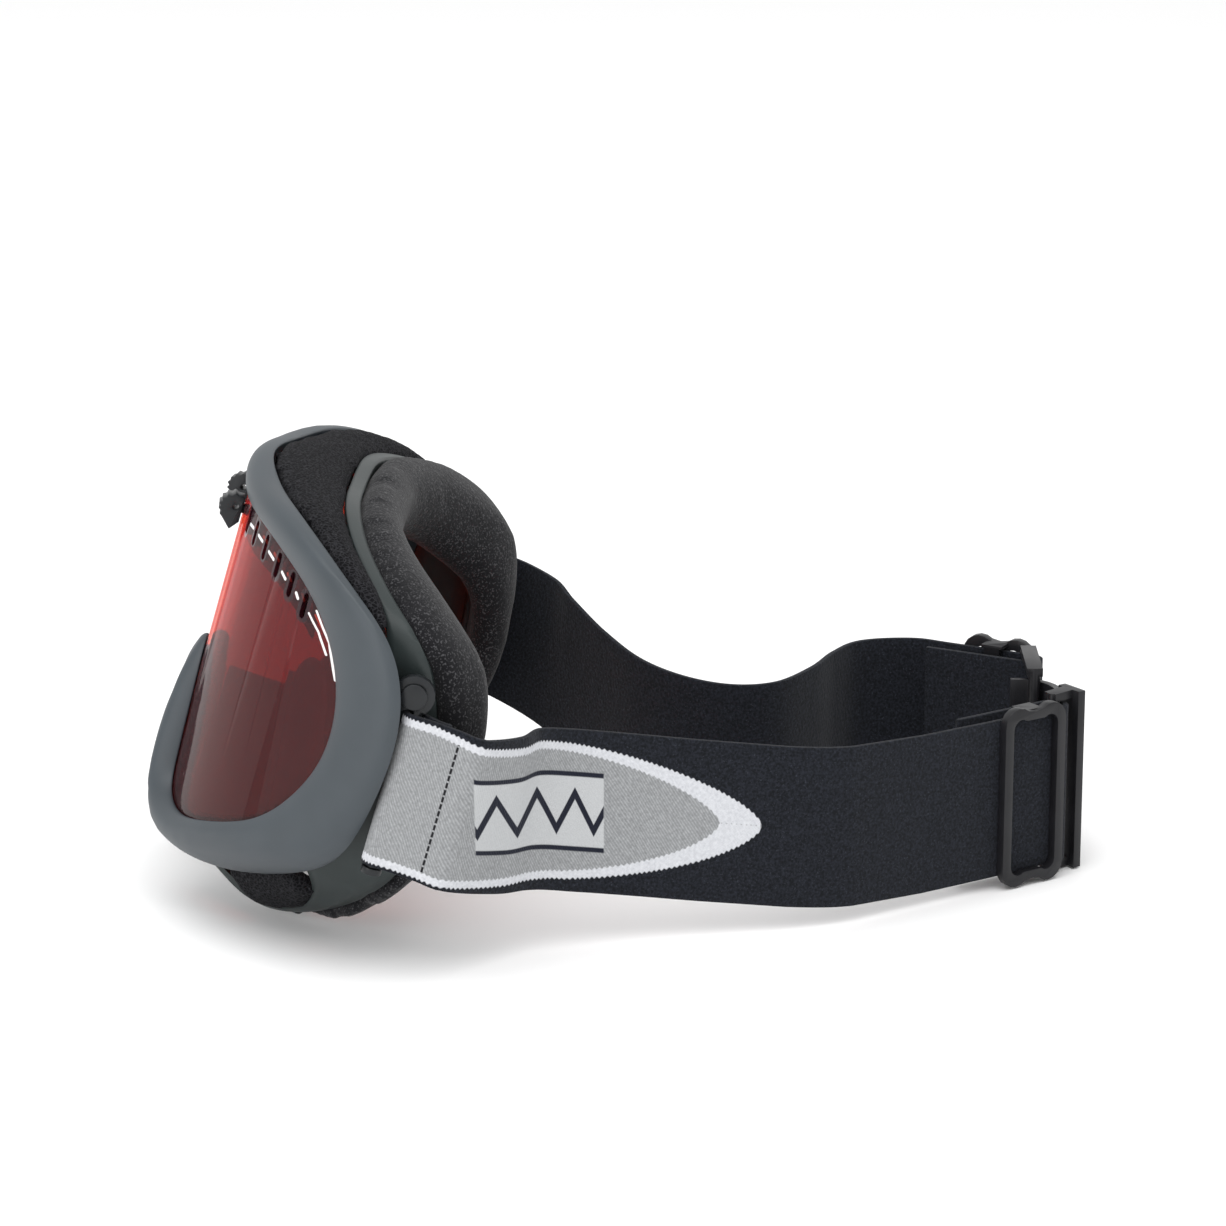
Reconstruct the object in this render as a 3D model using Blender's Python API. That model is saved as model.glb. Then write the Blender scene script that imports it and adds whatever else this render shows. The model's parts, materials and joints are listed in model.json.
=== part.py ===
"""Ski goggles, built as the separate pieces they come apart into.

The mask faces -Y, the wearer's left is +X and up is +Z.  The head strap runs back to +Y.
All lengths below are millimetres until the last step of each mesh, which writes metres.

The mask is drawn in its own leaned-back frame:
    x  across the face, h  up along the lens, d  depth behind the middle of the lens.
"""
import math

import bmesh
import bpy
from mathutils import Vector

MM = 0.001

# ---- driving dimensions, mm ------------------------------------------------------------
LEAN = math.radians(16.2)        # the mask leans back as it rests on its lower edge
LENS_FOOT_Y = -123.9             # where the lens line would meet the table
LENS_FOOT_Z = 0.8
LENS_RADIUS = 92.0               # cylinder of the outer lens, outer face
LENS_THICK = 1.2
INNER_LENS_RADIUS = 87.3
INNER_LENS_THICK = 1.0
LENS_OVERLAP = 3.0               # the lens reaches this far under the rim's lip
LENS_COLUMNS = (0.0, 2.5, 5.0, 7.0, 9.0, 10.5, 12.0, 13.5, 15.0, 17.0, 20.0, 26.0, 32.0, 38.0,
                44.0, 50.0, 56.0, 61.0, 66.0, 71.0, 75.0, 79.0, 82.0, 84.5, 86.5, 88.0)
GASKET_IN = 1.0
GASKET_OUT = 1.6
GAP = 0.3                        # between neighbours that touch on the real object

RIM_WALL = 2.2
LIP_RISE = 1.1
GROOVE_DEPTH = 3.4
GROOVE_BACK = -1.5
RIB_BACK = -3.0
RIB_IN = 2.0
RIB_OUT = 4.5

WALL_OUT = 3.6                   # front end of the closed side walls, behind the lens edge
WALL_BACK = 4.0
FLANGE_DEPTH = 4.0
FLANGE_WALL = 2.0
FLANGE_PLATE = 6.0
FOAM_SEAT = 1.3                  # glue line between the frame plate and the cushion
FLEECE_THICK = 1.8

STRAP_THICK = 1.5
STRAP_FRONT_WIDTH = 39.5
STRAP_REAR_WIDTH = 42.0
STRAP_REAR_MID_Z = 24.0
LAYER_GAP = 6.4                  # from the strap's outer layer to its folded-back layer
ANCHOR_X = 80.6                  # strap bar of the outrigger
ANCHOR_D = 56.5
ANCHOR_BAR_RADIUS = 1.4
PIVOT_H = 90.0                   # outrigger pivot, on an axis across the mask
PIVOT_D = 54.8
PIVOT_PIN_RADIUS = 1.7
LUG_RADIUS = 2.8

SLIDER_WIDTH = 20.0
SLIDER_HEIGHT = 48.0
SLIDER_PLATE = 2.4
SLIDER_BAR = 2.7                 # width of the plate round its window

VENT_HOLE_WIDTH = 2.0
VENT_HOLE_HEIGHT = 6.6
VENT_DROP = 5.0                  # hole centre below the edge of the lens opening
VENT_HOLE_X = (24.0, 32.4, 40.7, 48.6, 55.3, 61.0)
SHUTTER_RADIUS = 90.4
SHUTTER_THICK = 0.5
LEVER_X = 10.0
LEVER_H = 103.2

# Stations round the right half of the mask, from the middle of the top edge, down the
# temple, along the cheek and up to the middle of the nose arch.
# opening (x, h); rim rear edge (x, h, d); rim bulge (out, rise, rear rise);
# flange front edge (x, h, d); face line of the foam (x, h, d); reach of the flange towards
# the rim, from 0 (open, vent foam) to 1 (closed wall), whether that wall ends at the rim's
# rear edge (0) or inside it, at the lens groove's back rib (1); inner edge of the cushion (x, h).
STATIONS = (
    ((0.0, 108.6), (0.0, 117.5, 3.5), (4.0, 3.2, 6.0), (0.0, 115.5, 24.5), (0.0, 116.0, 38.5),
     (0.0, 0.0), (0.0, 98.0)),
    ((25.0, 109.2), (26.0, 116.3, 8.5), (4.0, 3.2, 6.0), (25.0, 115.8, 25.2), (22.0, 115.6, 39.5),
     (0.0, 0.0), (19.0, 97.5)),
    ((46.0, 108.0), (49.0, 115.8, 17.0), (4.5, 3.4, 6.0), (47.0, 113.0, 30.0), (40.0, 111.5, 47.0),
     (0.0, 0.0), (34.0, 94.5)),
    ((62.0, 102.5), (70.0, 110.5, 31.0), (5.0, 3.8, 6.0), (66.0, 108.0, 39.0), (57.0, 106.5, 58.0),
     (0.0, 0.0), (43.0, 89.0)),
    ((71.0, 92.0), (82.0, 99.5, 47.0), (5.0, 4.2, 5.0), (77.0, 99.0, 51.0), (67.0, 98.0, 69.0),
     (0.6, 0.7), (47.5, 82.0)),
    ((74.8, 77.0), (85.5, 82.0, 53.6), (5.0, 4.2, 4.5), (73.0, 80.0, 58.5), (69.0, 86.0, 72.3),
     (1.0, 1.0), (49.5, 74.0)),
    ((73.2, 60.0), (83.0, 58.0, 52.0), (5.0, 4.2, 6.0), (72.0, 58.0, 60.5), (66.0, 62.0, 73.5),
     (1.0, 1.0), (49.0, 60.0)),
    ((64.5, 43.5), (72.5, 39.5, 46.0), (5.0, 4.4, 9.0), (67.0, 38.0, 58.5), (58.0, 35.0, 67.0),
     (0.95, 0.75), (44.0, 44.0)),
    ((46.0, 32.5), (50.0, 24.5, 30.0), (4.5, 5.0, 12.0), (47.0, 18.2, 43.5), (45.0, 15.5, 52.0),
     (0.0, 0.0), (39.5, 32.0)),
    ((31.0, 28.6), (33.0, 18.0, 17.0), (4.0, 6.5, 14.0), (33.0, 10.5, 28.0), (35.0, 12.2, 40.0),
     (0.2, 0.0), (35.0, 27.0)),
    ((19.0, 31.5), (18.5, 20.0, 7.0), (3.0, 8.5, 13.0), (22.0, 17.0, 23.0), (26.0, 16.0, 36.0),
     (1.0, 0.0), (30.8, 29.5)),
    ((14.8, 43.0), (8.5, 37.5, 6.0), (2.0, 9.5, 14.0), (13.0, 34.0, 23.0), (17.0, 34.0, 35.5),
     (1.0, 0.0), (27.0, 38.5)),
    ((9.2, 58.0), (4.5, 50.0, 6.5), (2.0, 8.0, 12.0), (8.5, 49.0, 21.0), (10.0, 49.0, 33.0),
     (1.0, 0.0), (18.5, 57.0)),
    ((0.0, 66.0), (0.0, 57.0, 6.5), (2.5, 4.0, 9.0), (0.0, 56.5, 20.0), (0.0, 56.0, 31.0),
     (1.0, 0.0), (0.0, 69.5)),
)
STEPS = 3                        # mesh stations between two design stations


# ---- frames ---------------------------------------------------------------------------
LEAN_UP = Vector((0.0, math.sin(LEAN), math.cos(LEAN)))
LEAN_BACK = Vector((0.0, math.cos(LEAN), -math.sin(LEAN)))
FOOT = Vector((0.0, LENS_FOOT_Y, LENS_FOOT_Z))


def mask_point(x, h, d):
    """World point of mask coordinates."""
    return FOOT + Vector((x, 0.0, 0.0)) + LEAN_UP * h + LEAN_BACK * d


def lens_depth(x):
    return LENS_RADIUS - math.sqrt(LENS_RADIUS ** 2 - x ** 2)


def lens_point(arc, h, radius):
    """World point on a cylinder concentric with the lens, at an arc length along it."""
    turn = arc / LENS_RADIUS
    x = radius * math.sin(turn)
    d = LENS_RADIUS - radius * math.cos(turn)
    return mask_point(x, h, d)


# ---- curves ---------------------------------------------------------------------------
def catmull(p0, p1, p2, p3, t):
    """Point between p1 and p2 of a Catmull-Rom curve through tuples."""
    out = []
    for a, b, c, e in zip(p0, p1, p2, p3):
        bend = 2 * b + (c - a) * t + (2 * a - 5 * b + 4 * c - e) * t ** 2
        out.append(0.5 * (bend + (3 * b - a - 3 * c + e) * t ** 3))
    return tuple(out)


def smooth_path(points, steps):
    """Open smooth curve through the points, which it keeps."""
    path = []
    last = len(points) - 1
    for i in range(last):
        before = points[max(i - 1, 0)]
        after = points[min(i + 2, last)]
        for k in range(steps):
            path.append(catmull(before, points[i], points[i + 1], after, k / steps))
    path.append(tuple(points[-1]))
    return path


def mirrored(row):
    """The station row of the left half: x changes sign, the bulge numbers stay."""
    opening, rear, bulge, flange, face, reach, inner = row
    return ((-opening[0], opening[1]), (-rear[0],) + rear[1:], bulge,
            (-flange[0],) + flange[1:], (-face[0],) + face[1:], reach, (-inner[0], inner[1]))


def flat(row):
    opening, rear, bulge, flange, face, reach, inner = row
    return opening + rear + bulge + flange + face + reach + inner


def station_loop(steps=STEPS):
    """All mesh stations round the mask, as dictionaries, starting at the top middle."""
    rows = [flat(row) for row in STATIONS]
    rows += [flat(mirrored(row)) for row in reversed(STATIONS[1:-1])]
    count = len(rows)
    loop = []
    for i in range(count):
        near = [rows[(i + k) % count] for k in (-1, 0, 1, 2)]
        for k in range(steps):
            v = catmull(*near, k / steps)
            loop.append({"at": i + k / steps, "opening": v[0:2], "rear": v[2:5],
                         "bulge": v[5:8], "flange": v[8:11], "face": v[11:14],
                         "reach": min(max(v[14], 0.0), 1.0),
                         "inside": min(max(v[15], 0.0), 1.0), "inner": v[16:18]})
    add_directions(loop)
    return loop


def add_directions(loop):
    """Give each station its outward direction, in the unrolled lens plane and in space."""
    count = len(loop)
    for i, row in enumerate(loop):
        row["arc"] = LENS_RADIUS * math.asin(row["opening"][0] / LENS_RADIUS)
    for i, row in enumerate(loop):
        after = loop[(i + 1) % count]
        before = loop[i - 1]
        along = Vector((after["arc"] - before["arc"], after["opening"][1] - before["opening"][1]))
        along.normalize()
        outward = Vector((-along.y, along.x))
        row["out2"] = outward
        turn = row["arc"] / LENS_RADIUS
        sideways = Vector((1.0, 0.0, 0.0)) * math.cos(turn) + LEAN_BACK * math.sin(turn)
        row["out"] = sideways * outward.x + LEAN_UP * outward.y
        row["front"] = Vector((1.0, 0.0, 0.0)) * math.sin(turn) - LEAN_BACK * math.cos(turn)
        row["along"] = sideways * along.x + LEAN_UP * along.y
        flange_along = mask_point(*after["flange"]) - mask_point(*before["flange"])
        inward = flange_along.cross(LEAN_BACK)
        row["flange_out"] = inward.normalized()


# ---- meshes ---------------------------------------------------------------------------
def material(name, colour, roughness, metallic=0.0):
    made = bpy.data.materials.get(name)
    if made is None:
        made = bpy.data.materials.new(name)
        made.use_nodes = True
        shader = made.node_tree.nodes["Principled BSDF"]
        shader.inputs["Base Color"].default_value = colour + (1.0,)
        shader.inputs["Roughness"].default_value = roughness
        shader.inputs["Metallic"].default_value = metallic
    return made


FINISH = {
    "frame": ("frame_plastic", (0.10, 0.12, 0.14), 0.55),
    "lens": ("rose_lens", (0.62, 0.10, 0.07), 0.08),
    "clear": ("clear_lens", (0.75, 0.72, 0.70), 0.08),
    "foam": ("charcoal_foam", (0.02, 0.02, 0.022), 0.95),
    "fleece": ("charcoal_fleece", (0.03, 0.03, 0.033), 1.0),
    "strap": ("elastic_webbing", (0.02, 0.022, 0.03), 0.9),
    "fitting": ("black_plastic", (0.015, 0.015, 0.017), 0.35),
    "pin": ("pin_plastic", (0.03, 0.03, 0.033), 0.3),
}


def finish(obj, key, smooth=True):
    name, colour, roughness = FINISH[key]
    obj.data.materials.clear()
    obj.data.materials.append(material(name, colour, roughness))
    if smooth:
        obj.data.shade_smooth()
        obj.data.set_sharp_from_angle(angle=math.radians(35))
    return obj


def make_object(name, points, faces, origin=(0.0, 0.0, 0.0)):
    """An object from points in mm, with its origin at a point in mm."""
    start = Vector(origin)
    mesh = bpy.data.meshes.new(name)
    mesh.from_pydata([(Vector(p) - start) * MM for p in points], [], faces)
    mesh.update()
    obj = bpy.data.objects.new(name, mesh)
    obj.location = start * MM
    bpy.context.collection.objects.link(obj)
    face_outwards(obj)
    return obj


def face_outwards(obj):
    solid = bmesh.new()
    solid.from_mesh(obj.data)
    bmesh.ops.recalc_face_normals(solid, faces=solid.faces)
    if solid.calc_volume(signed=True) < 0:
        bmesh.ops.reverse_faces(solid, faces=solid.faces)
    solid.to_mesh(obj.data)
    solid.free()


def loft(sections, closed):
    """Points and faces of a skin over equal closed sections, ringed or capped."""
    size = len(sections[0])
    points = [p for section in sections for p in section]
    faces = []
    spans = len(sections) if closed else len(sections) - 1
    for i in range(spans):
        here = i * size
        there = ((i + 1) % len(sections)) * size
        for k in range(size):
            m = (k + 1) % size
            faces.append((here + k, here + m, there + m))
            faces.append((here + k, there + m, there + k))
    if not closed:
        faces.append(tuple(range(size)))
        faces.append(tuple(reversed(range(spans * size, spans * size + size))))
    return points, faces


def loft_object(name, sections, closed=True, origin=(0.0, 0.0, 0.0)):
    points, faces = loft(sections, closed)
    return make_object(name, points, faces, origin)


def prism(name, outline, place, depth_axis, low, high, origin=(0.0, 0.0, 0.0)):
    """A plate: place(a, b) puts outline points, which run from low to high along an axis."""
    front = [place(a, b) + depth_axis * low for a, b in outline]
    back = [place(a, b) + depth_axis * high for a, b in outline]
    points, faces = loft([front, back], closed=False)
    return make_object(name, points, faces, origin)


def rod(name, start, end, radius, sides=16, origin=(0.0, 0.0, 0.0)):
    """A round bar between two points."""
    axis = (end - start).normalized()
    side = axis.orthogonal().normalized()
    other = axis.cross(side)
    ring = [side * (radius * math.cos(2 * math.pi * k / sides))
            + other * (radius * math.sin(2 * math.pi * k / sides)) for k in range(sides)]
    points, faces = loft([[start + r for r in ring], [end + r for r in ring]], closed=False)
    return make_object(name, points, faces, origin)


def triangulate(obj):
    solid = bmesh.new()
    solid.from_mesh(obj.data)
    bmesh.ops.triangulate(solid, faces=solid.faces)
    solid.to_mesh(obj.data)
    solid.free()


def joined(objects):
    """One object holding the meshes of several that don't meet."""
    solid = bmesh.new()
    for obj in objects:
        solid.from_mesh(obj.data)
    solid.to_mesh(objects[0].data)
    solid.free()
    for obj in objects[1:]:
        bpy.data.objects.remove(obj, do_unlink=True)
    return objects[0]


def combine(obj, others, operation):
    """Boolean the others into an object, apply it and remove them."""
    if operation == "DIFFERENCE":
        others = [joined(others)]
    for other in others:
        triangulate(obj)
        triangulate(other)
        cut = obj.modifiers.new("combine", "BOOLEAN")
        cut.operation = operation
        cut.solver = "EXACT"
        cut.object = other
        depsgraph = bpy.context.evaluated_depsgraph_get()
        mesh = bpy.data.meshes.new_from_object(obj.evaluated_get(depsgraph))
        obj.modifiers.clear()
        obj.data = mesh
        bpy.data.objects.remove(other, do_unlink=True)
    solid = bmesh.new()
    solid.from_mesh(obj.data)
    bmesh.ops.dissolve_limit(solid, angle_limit=math.radians(0.3), verts=solid.verts,
                             edges=solid.edges)
    solid.to_mesh(obj.data)
    solid.free()
    return obj


# ---- rim, lenses and gasket -----------------------------------------------------------
RIM_REAR = 6                     # place of the rear edge in a rim section


def bezier(points, t):
    a, b, c, e = points
    s = 1.0 - t
    return a * s ** 3 + b * (3 * s * s * t) + c * (3 * s * t * t) + e * t ** 3


def rim_section(row):
    """Closed section of the rim: outer bulge, rear edge, back rib and lens groove."""
    x, h = row["opening"]
    edge = mask_point(x, h, lens_depth(x))
    rear = mask_point(*row["rear"]) - edge
    out_len = rear.dot(row["out"])
    front_len = rear.dot(row["front"])
    slip = rear.dot(row["along"])
    out, rise, rear_rise = row["bulge"]
    curve = [Vector((0.0, LIP_RISE)), Vector((out, rise)),
             Vector((out_len + 0.8, front_len + rear_rise)), Vector((out_len, front_len))]
    outer = [bezier(curve, t) for t in (0.0, 0.12, 0.28, 0.46, 0.64, 0.82, 1.0)]

    def wall(t):
        ahead = bezier(curve, min(t + 0.02, 1.0)) - bezier(curve, t - 0.02)
        ahead.normalize()
        return bezier(curve, t) + Vector((ahead.y, -ahead.x)) * RIM_WALL

    def clear_of_rib(spot):
        if spot.x < RIB_OUT + 2.5:
            spot.y = min(spot.y, RIB_BACK - 0.3)
        spot.x = max(spot.x, RIB_OUT + 0.3)
        return spot

    inner_end = clear_of_rib(wall(1.0))
    inner_mid = clear_of_rib(wall(0.8))
    if (inner_end - inner_mid).length < 0.5:
        inner_mid = (inner_end + Vector((RIB_OUT, RIB_BACK))) * 0.5
    profile = [(p.x, p.y, t) for p, t in zip(outer, (0.0, 0.12, 0.28, 0.46, 0.64, 0.82, 1.0))]
    profile += [(inner_end.x, inner_end.y, 1.0), (inner_mid.x, inner_mid.y, 0.8),
                (RIB_OUT, RIB_BACK, 0.0), (RIB_IN, RIB_BACK, 0.0), (RIB_IN, GROOVE_BACK, 0.0),
                (GROOVE_DEPTH, GROOVE_BACK, 0.0), (GROOVE_DEPTH, GAP, 0.0), (0.0, GAP, 0.0)]
    return [edge + row["out"] * o + row["front"] * f + row["along"] * (slip * t * t)
            for o, f, t in profile]


def make_rim(loop):
    return finish(loft_object("front_rim", [rim_section(row) for row in loop]), "frame")


def heights_at(outline, arc):
    """Lowest and highest point of a closed outline where it crosses a line."""
    found = []
    for i, start in enumerate(outline):
        end = outline[(i + 1) % len(outline)]
        if start.x != end.x and min(start.x, end.x) <= arc <= max(start.x, end.x):
            share = (arc - start.x) / (end.x - start.x)
            found.append(start.y + (end.y - start.y) * share)
    return min(found), max(found)


def lens_sheet(name, loop, outer_radius, thickness, reach):
    """A curved window: upright strips side by side round the cylinder."""
    outline = [Vector((row["arc"], row["opening"][1])) + row["out2"] * reach for row in loop]
    widest = max(p.x for p in outline) - 0.01
    half = [arc for arc in LENS_COLUMNS if arc < widest - 0.5] + [widest]
    sections = []
    for arc in [-arc for arc in reversed(half)] + half[1:]:
        low, high = heights_at(outline, arc)
        inner_radius = outer_radius - thickness
        sections.append([lens_point(arc, low, outer_radius), lens_point(arc, high, outer_radius),
                         lens_point(arc, high, inner_radius), lens_point(arc, low, inner_radius)])
    return loft_object(name, sections, closed=False)


def oval_cutter(arc, h, width, height, low, high):
    """A rounded slot through the lens, as a cutter."""
    outline = []
    straight = max(height - width, 0.0) / 2
    for k in range(6):
        turn = math.pi * k / 5
        outline.append((width / 2 * math.cos(turn), straight + width / 2 * math.sin(turn)))
    outline += [(-a, -b) for a, b in outline]
    sections = [[lens_point(arc + a, h + b, radius) for a, b in outline] for radius in (low, high)]
    return loft_object("cutter", sections, closed=False)


def opening_height(x, loop):
    """Height of the top edge of the lens opening above a place across the mask."""
    quarter = loop[:STEPS * 5]
    for near, far in zip(quarter, quarter[1:]):
        if near["opening"][0] <= x <= far["opening"][0]:
            share = (x - near["opening"][0]) / (far["opening"][0] - near["opening"][0])
            return near["opening"][1] + share * (far["opening"][1] - near["opening"][1])
    return STATIONS[0][0][1]


def arc_at(x):
    return LENS_RADIUS * math.asin(x / LENS_RADIUS)


def make_outer_lens(loop):
    lens = lens_sheet("outer_lens", loop, LENS_RADIUS, LENS_THICK, LENS_OVERLAP)
    cutters = []
    low = LENS_RADIUS - 4.0
    high = LENS_RADIUS + 3.0
    for side in (1, -1):
        for x in VENT_HOLE_X:
            h = opening_height(x, loop) - VENT_DROP
            cutters.append(oval_cutter(side * arc_at(x), h, VENT_HOLE_WIDTH, VENT_HOLE_HEIGHT, low, high))
        slot = oval_cutter(side * (LEVER_X - 2.0), LEVER_H, 3.2, 3.3, low, high)
        for v in slot.data.vertices:
            local = v.co.x / MM - side * (LEVER_X - 2.0)
            v.co.x += math.copysign(2.2, local) * MM
        cutters.append(slot)
    combine(lens, cutters, "DIFFERENCE")
    return finish(lens, "lens")


def make_inner_lens(loop):
    lens = lens_sheet("inner_lens", loop, INNER_LENS_RADIUS, INNER_LENS_THICK, GASKET_OUT)
    return finish(lens, "clear")


def make_gasket(loop):
    sections = []
    front = LENS_RADIUS - LENS_THICK - GAP
    back = INNER_LENS_RADIUS + GAP
    for row in loop:
        start = Vector((row["arc"], row["opening"][1]))
        inner = start - row["out2"] * GASKET_IN
        outer = start + row["out2"] * (GASKET_OUT - 0.2)
        sections.append([lens_point(inner.x, inner.y, front), lens_point(outer.x, outer.y, front),
                         lens_point(outer.x, outer.y, back), lens_point(inner.x, inner.y, back)])
    return finish(loft_object("lens_gasket", sections), "foam")


# ---- vent shutters and levers ---------------------------------------------------------
def lens_axis_origin():
    """A point on the axis of the lens cylinder, where the vent pieces turn."""
    return mask_point(0.0, LEVER_H, LENS_RADIUS)


def make_shutter(name, side, loop):
    """A thin curved slide with a window behind each hole of the lens."""
    sections = []
    outer = SHUTTER_RADIUS
    inner = SHUTTER_RADIUS - SHUTTER_THICK
    for k in range(15):
        x = 7.5 + (64.0 - 7.5) * k / 14
        top = min(opening_height(x, loop), 108.2) - 2.2
        arc = side * arc_at(x)
        sections.append([lens_point(arc, top - 7.6, outer), lens_point(arc, top, outer),
                         lens_point(arc, top, inner), lens_point(arc, top - 7.6, inner)])
    origin = lens_axis_origin()
    shutter = loft_object(name, sections, closed=False, origin=origin)
    cutters = []
    for x in VENT_HOLE_X:
        h = opening_height(x, loop) - VENT_DROP - 1.0
        cutters.append(oval_cutter(side * arc_at(x), h, 3.0, 5.0, inner - 1.0, outer + 1.0))
    combine(shutter, cutters, "DIFFERENCE")
    return finish(shutter, "fitting")


LEVER_PROFILE = [(0.6, -3.2), (2.6, -5.6), (5.0, -3.0), (5.9, -2.2), (5.5, -1.5), (6.5, -0.9),
                 (6.0, -0.2), (6.7, 0.5), (5.9, 1.1), (6.2, 1.9), (5.2, 2.3), (5.0, 3.2),
                 (4.0, 3.1), (3.2, 3.9), (2.0, 3.2), (0.6, 3.4)]


def make_lever(name, side):
    """Thumb lever outside the lens, with a ribbed end, a foot and a stem to the shutter."""
    turn = LEVER_X / LENS_RADIUS * side
    across = Vector((1.0, 0.0, 0.0)) * math.cos(turn) + LEAN_BACK * math.sin(turn)
    front = Vector((1.0, 0.0, 0.0)) * math.sin(turn) - LEAN_BACK * math.cos(turn)
    base = lens_point(side * LEVER_X, LEVER_H, LENS_RADIUS)
    origin = lens_axis_origin()

    def place(out, up):
        return base + front * out + LEAN_UP * up

    lever = prism(name, LEVER_PROFILE, place, across, -2.4, 2.4, origin)
    stem_back = SHUTTER_RADIUS + GAP - LENS_RADIUS
    stem = prism("stem", [(stem_back, -1.1), (1.4, -1.1), (1.4, 1.1), (stem_back, 1.1)],
                 place, across, -1.1, 1.1)
    combine(lever, [stem], "UNION")
    hole = rod("hole", place(2.2, 0.4) - across * 4, place(2.2, 0.4) + across * 4, 0.8, 10)
    combine(lever, [hole], "DIFFERENCE")
    return finish(lever, "fitting")


# ---- frame body, vent foam, face foam -------------------------------------------------
def frame_section(row):
    """Outer wall of the frame, which reaches forward to the rim, and its foam plate."""
    out = row["flange_out"]
    start = mask_point(*row["flange"])
    rim_edge = mask_point(*row["rear"]) + LEAN_BACK * (GAP + 0.3) - out * 0.6
    x, h = row["opening"]
    rib = mask_point(x, h, lens_depth(x)) + row["out"] * WALL_OUT - row["front"] * WALL_BACK
    front = start.lerp(rim_edge.lerp(rib, row["inside"]), row["reach"])
    rear = start + LEAN_BACK * FLANGE_DEPTH
    step = start + LEAN_BACK * (FLANGE_DEPTH - 1.8)
    return [front, rear, rear - out * FLANGE_PLATE, step - out * FLANGE_PLATE,
            step - out * FLANGE_WALL, front - out * FLANGE_WALL]


def make_frame_body(loop):
    frame = loft_object("frame_body", [frame_section(row) for row in loop])
    lugs = []
    cutters = []
    for side in (1, -1):
        def at(x):
            return mask_point(side * x, PIVOT_H, PIVOT_D)

        lugs.append(rod("lug", at(74.4), at(ANCHOR_X - 1.5), LUG_RADIUS, 14))
        cutters.append(rod("cutter", at(60.0), at(90.0), PIVOT_PIN_RADIUS + GAP, 12))
    combine(frame, lugs, "UNION")
    combine(frame, cutters, "DIFFERENCE")
    return finish(frame, "frame")


def vent_section(row, thick=2.6, crown=1.2):
    """Strip of open-cell foam from the rim's rear edge to the frame's front edge."""
    rim = rim_section(row)
    rim_outer, rim_inner = rim[RIM_REAR], rim[RIM_REAR + 1]
    down = (rim_inner - rim_outer).normalized()
    frame_front = frame_section(row)[0]
    away = frame_front - rim_outer
    away = (away - down * away.dot(down)).normalized()
    out = row["flange_out"]
    start = rim_outer + away * 1.0 + down * 0.3
    end = frame_front - LEAN_BACK * 0.5 - out * 0.3
    middle = (start + end) * 0.5 - (down - out) * (crown / 2)
    return [start, middle, end, end - out * thick, middle + (down - out) * ((thick + crown) / 2),
            start + down * thick + away * 1.2]


def part_of_loop(loop, low, high):
    """Stations from low to high, where negative values lie left of the top middle."""
    total = len(loop) // STEPS
    rows = []
    for row in loop:
        at = row["at"] if row["at"] <= total / 2 else row["at"] - total
        if low <= at <= high:
            rows.append((at, row))
    rows.sort(key=lambda pair: pair[0])
    return [row for _, row in rows]


def make_vent_foam(name, loop, low, high):
    sections = [vent_section(row) for row in part_of_loop(loop, low, high)]
    return finish(loft_object(name, sections, closed=False), "foam")


def cushion_width(row):
    """How wide the cushion is at a station, and the direction from its outer to its inner edge."""
    face = mask_point(*row["face"])
    across = mask_point(*row["inner"], row["face"][2]) - face
    return across.length, across.normalized()


def foam_section(row):
    """Soft cushion between the frame plate and the face, without its fleece."""
    out = row["flange_out"]
    width, inward = cushion_width(row)
    front = mask_point(*row["flange"]) + LEAN_BACK * (FLANGE_DEPTH + FOAM_SEAT) - out * 0.4
    face = mask_point(*row["face"])
    back = face - LEAN_BACK * (FLEECE_THICK + 2 * GAP)
    middle = front.lerp(back, 0.5)
    return [front, front - out * (FLANGE_PLATE - 0.4), middle + inward * (width - 0.5),
            back + inward * (width - 1.5) - LEAN_BACK * 2.5, back + inward * (width - 4.0),
            back + inward * 2.0, back - LEAN_BACK * 1.5, middle + out * 1.6]


def make_face_foam(loop):
    return finish(loft_object("face_foam", [foam_section(row) for row in loop]), "foam")


def fleece_section(row):
    """The soft layer against the face, over the rear of the cushion."""
    width, inward = cushion_width(row)
    face = mask_point(*row["face"])
    low = face - LEAN_BACK * FLEECE_THICK
    return [low + inward * 2.2, face + inward * 3.2, face + inward * (width - 5.0),
            low + inward * (width - 4.2)]


def make_fleece(loop):
    return finish(loft_object("face_fleece", [fleece_section(row) for row in loop]), "fleece")


# ---- outriggers and their pivots ------------------------------------------------------
def make_outrigger(name, side):
    """Bracket on the frame's side: a round eye on the pivot and a bar for the strap."""
    across = Vector((1.0, 0.0, 0.0))
    origin = mask_point(side * ANCHOR_X, PIVOT_H, PIVOT_D)
    eye = [(PIVOT_D + 5.0 * math.cos(math.radians(a)), PIVOT_H + 5.0 * math.sin(math.radians(a)))
           for a in range(-60, 241, 20)]
    outline = [(ANCHOR_D + 1.8, 86.6)] + eye + [(ANCHOR_D - 1.8, 86.6)]

    def place(d, h):
        return mask_point(side * ANCHOR_X, h, d)

    plate = prism(name, outline, place, across, -1.2, 1.2, origin)
    bar = rod("bar", place(ANCHOR_D, 45.4), place(ANCHOR_D, 88.0), ANCHOR_BAR_RADIUS, 12)
    foot = rod("foot", place(ANCHOR_D, 44.0), place(ANCHOR_D, 45.6), 2.6, 12)
    combine(plate, [bar, foot], "UNION")
    hole = rod("hole", place(PIVOT_D, PIVOT_H) - across * 4, place(PIVOT_D, PIVOT_H) + across * 4,
               PIVOT_PIN_RADIUS + GAP, 16)
    combine(plate, [hole], "DIFFERENCE")
    return finish(plate, "fitting")


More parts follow.
